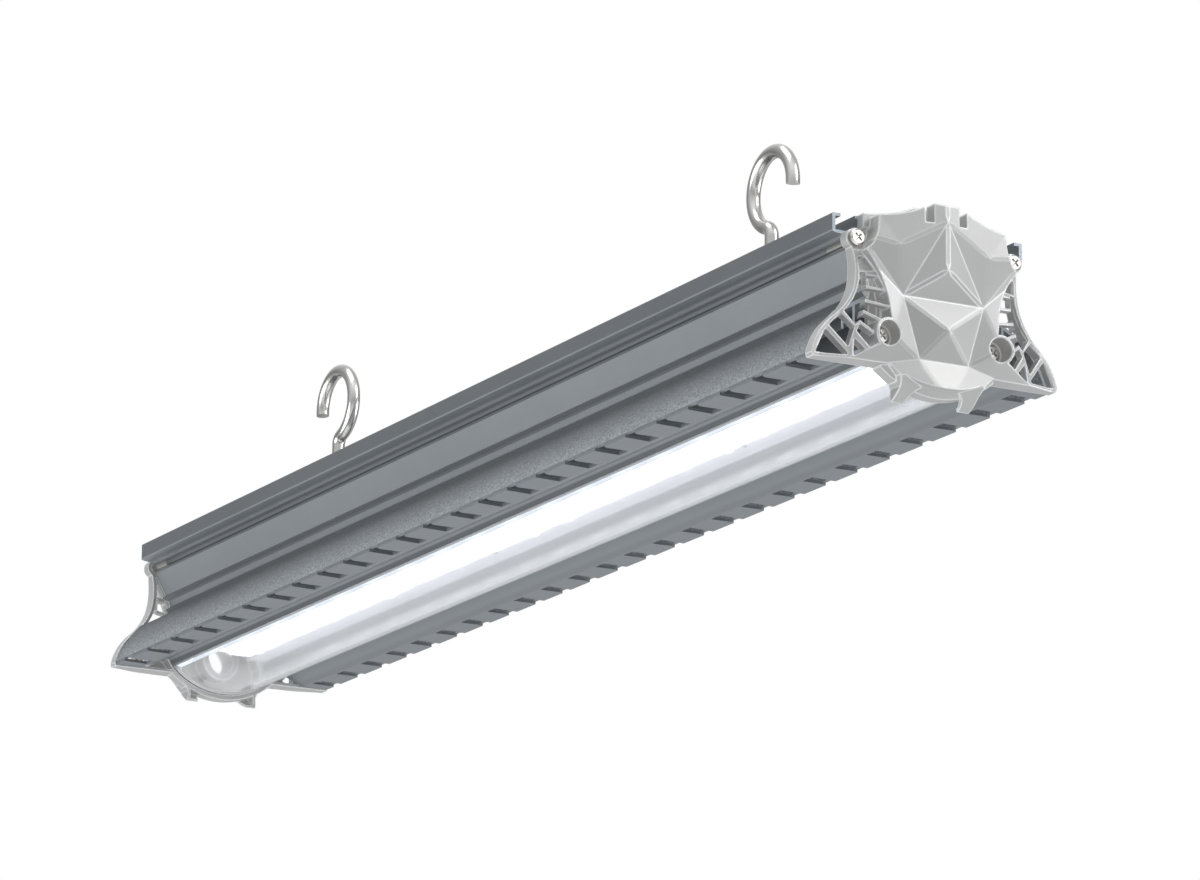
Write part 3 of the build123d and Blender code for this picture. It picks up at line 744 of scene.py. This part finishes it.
# The lamps aim at the near cap, at the housing a little past its middle, or at the ground below
NEAR_CAP: Place = (0.44, 0.0, 0.05)
PAST_MIDDLE: Place = (-0.1, 0.0, 0.05)
GROUND_MIDDLE: Place = (0.0, 0.0, 0.0)
LAMPS = (
    Lamp("key", (2.6, 1.9, 1.9), NEAR_CAP, power=34.0, size=1.8),
    Lamp("window", (1.7, 2.8, -0.5), NEAR_CAP, power=26.0, size=1.6),
    Lamp("side", (-0.9, -2.9, -0.6), PAST_MIDDLE, power=38.0, size=2.0),
    Lamp("top", (0.0, -0.6, 2.6), GROUND_MIDDLE, power=30.0, size=2.0),
)


@dataclass
class Studio:
    """The pale floor, the soft light and the camera of the photograph, in metres and degrees."""

    camera_place: Place = (3.08029, -1.66018, -0.83163)
    azimuth: float = 61.11
    elevation: float = -14.59
    roll: float = 0.37
    focal_millimetres: float = 185.32
    sensor_millimetres: float = 36.0
    sight: float = 100.0
    floor_level: float = -1.7
    floor_size: float = 30.0
    floor_colour: Colour = (0.8, 0.8, 0.8)
    floor_roughness: float = 0.8
    sky_colour: Colour = (0.95, 0.975, 1.0)
    sky_span: Span = (0.05, 0.75)
    eye_level: float = 0.35
    overhead: float = 0.85
    lamps: tuple[Lamp, ...] = LAMPS

    def camera(self) -> None:
        """Places the camera of the photograph."""
        data = bpy.data.cameras.new("camera")
        data.lens = self.focal_millimetres
        data.sensor_width = self.sensor_millimetres
        data.clip_end = self.sight
        holder = bpy.data.objects.new("camera", data)
        bpy.context.scene.collection.objects.link(holder)
        around, tilt, roll = radians(self.azimuth), radians(self.elevation), radians(self.roll)
        back = Vector((sin(around) * cos(tilt), -cos(around) * cos(tilt), sin(tilt)))
        right = (-back).cross(Vector((0, 0, 1))).normalized()
        up = back.cross(right)
        across = right * cos(roll) + up * sin(roll)
        along = -right * sin(roll) + up * cos(roll)
        turn = Matrix((across, along, back)).transposed().to_4x4()
        holder.matrix_world = Matrix.Translation(self.camera_place) @ turn
        bpy.context.scene.camera = holder

    def seen(self, tree: Tree) -> Socket:
        """Tells where the surroundings are seen directly or through the clear lens.

        Args:
            tree: The tree of the floor or the world.

        Returns:
            The output, one where they are seen.
        """
        ray = tree.add("LightPath").outputs
        return tree.maths("MAXIMUM", ray["Is Camera Ray"], ray["Is Transmission Ray"])

    def floor_material(self) -> Material:
        """Builds the floor's finish, white where it is seen and clear from below.

        Returns:
            The Blender material.
        """
        made = bpy.data.materials.new("pale_floor")
        tree = Tree(made)
        lit = tree.nodes["Principled BSDF"]
        lit.inputs["Base Color"].default_value = (*self.floor_colour, 1.0)
        lit.inputs["Roughness"].default_value = self.floor_roughness
        white = tree.add("Emission", {"Color": WHITE, "Strength": 1.0})
        top = tree.add("MixShader", {0: self.seen(tree), 1: lit.outputs[0], 2: white.outputs[0]})
        # Clear from below, so that the fixture can be looked at from there
        below = tree.add("NewGeometry").outputs["Backfacing"]
        clear = tree.add("BsdfTransparent")
        whole = tree.add("MixShader", {0: below, 1: top.outputs[0], 2: clear.outputs[0]})
        tree.put(tree.nodes["Material Output"].inputs["Surface"], whole.outputs[0])
        return made

    def floor(self) -> None:
        """Lays the pale floor far below the hanging fixture."""
        half = self.floor_size / 2
        mesh = bpy.data.meshes.new("floor")
        corners = [(-half, -half, 0), (half, -half, 0), (half, half, 0), (-half, half, 0)]
        mesh.from_pydata(corners, [], [(0, 1, 2, 3)])
        ground = bpy.data.objects.new("floor", mesh)
        ground.location = (0, 0, self.floor_level)
        bpy.context.scene.collection.objects.link(ground)
        mesh.materials.append(self.floor_material())

    def world(self) -> None:
        """Makes the pale surroundings, darker at eye level and white where they are seen."""
        sky = bpy.data.worlds.new("studio")
        bpy.context.scene.world = sky
        tree = Tree(sky)
        soft = tree.nodes["Background"]
        soft.inputs["Color"].default_value = (*self.sky_colour, 1.0)
        direction = tree.apart(tree.add("TexCoord").outputs["Generated"])
        height = tree.maths("ABSOLUTE", direction["Z"])
        strength = tree.ramp(height, self.sky_span, self.eye_level, self.overhead)
        tree.put(soft.inputs["Strength"], strength)
        white = tree.add("Background", {"Color": WHITE, "Strength": 1.0})
        mix = tree.add("MixShader", {0: self.seen(tree), 1: soft.outputs[0], 2: white.outputs[0]})
        tree.put(tree.nodes["World Output"].inputs["Surface"], mix.outputs[0])

    def build(self) -> None:
        """Builds the studio."""
        bpy.context.scene.view_settings.view_transform = "Standard"
        self.camera()
        self.floor()
        self.world()
        for lamp in self.lamps:
            lamp.hang()


def main() -> None:
    """Dresses the fixture and builds the studio round it."""
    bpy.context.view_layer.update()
    Housing().build()
    EndCaps().build()
    LightEngine().build()
    Hooks().build()
    Studio().build()
    log.info("boxes written")


if __name__ == "__main__":
    main()
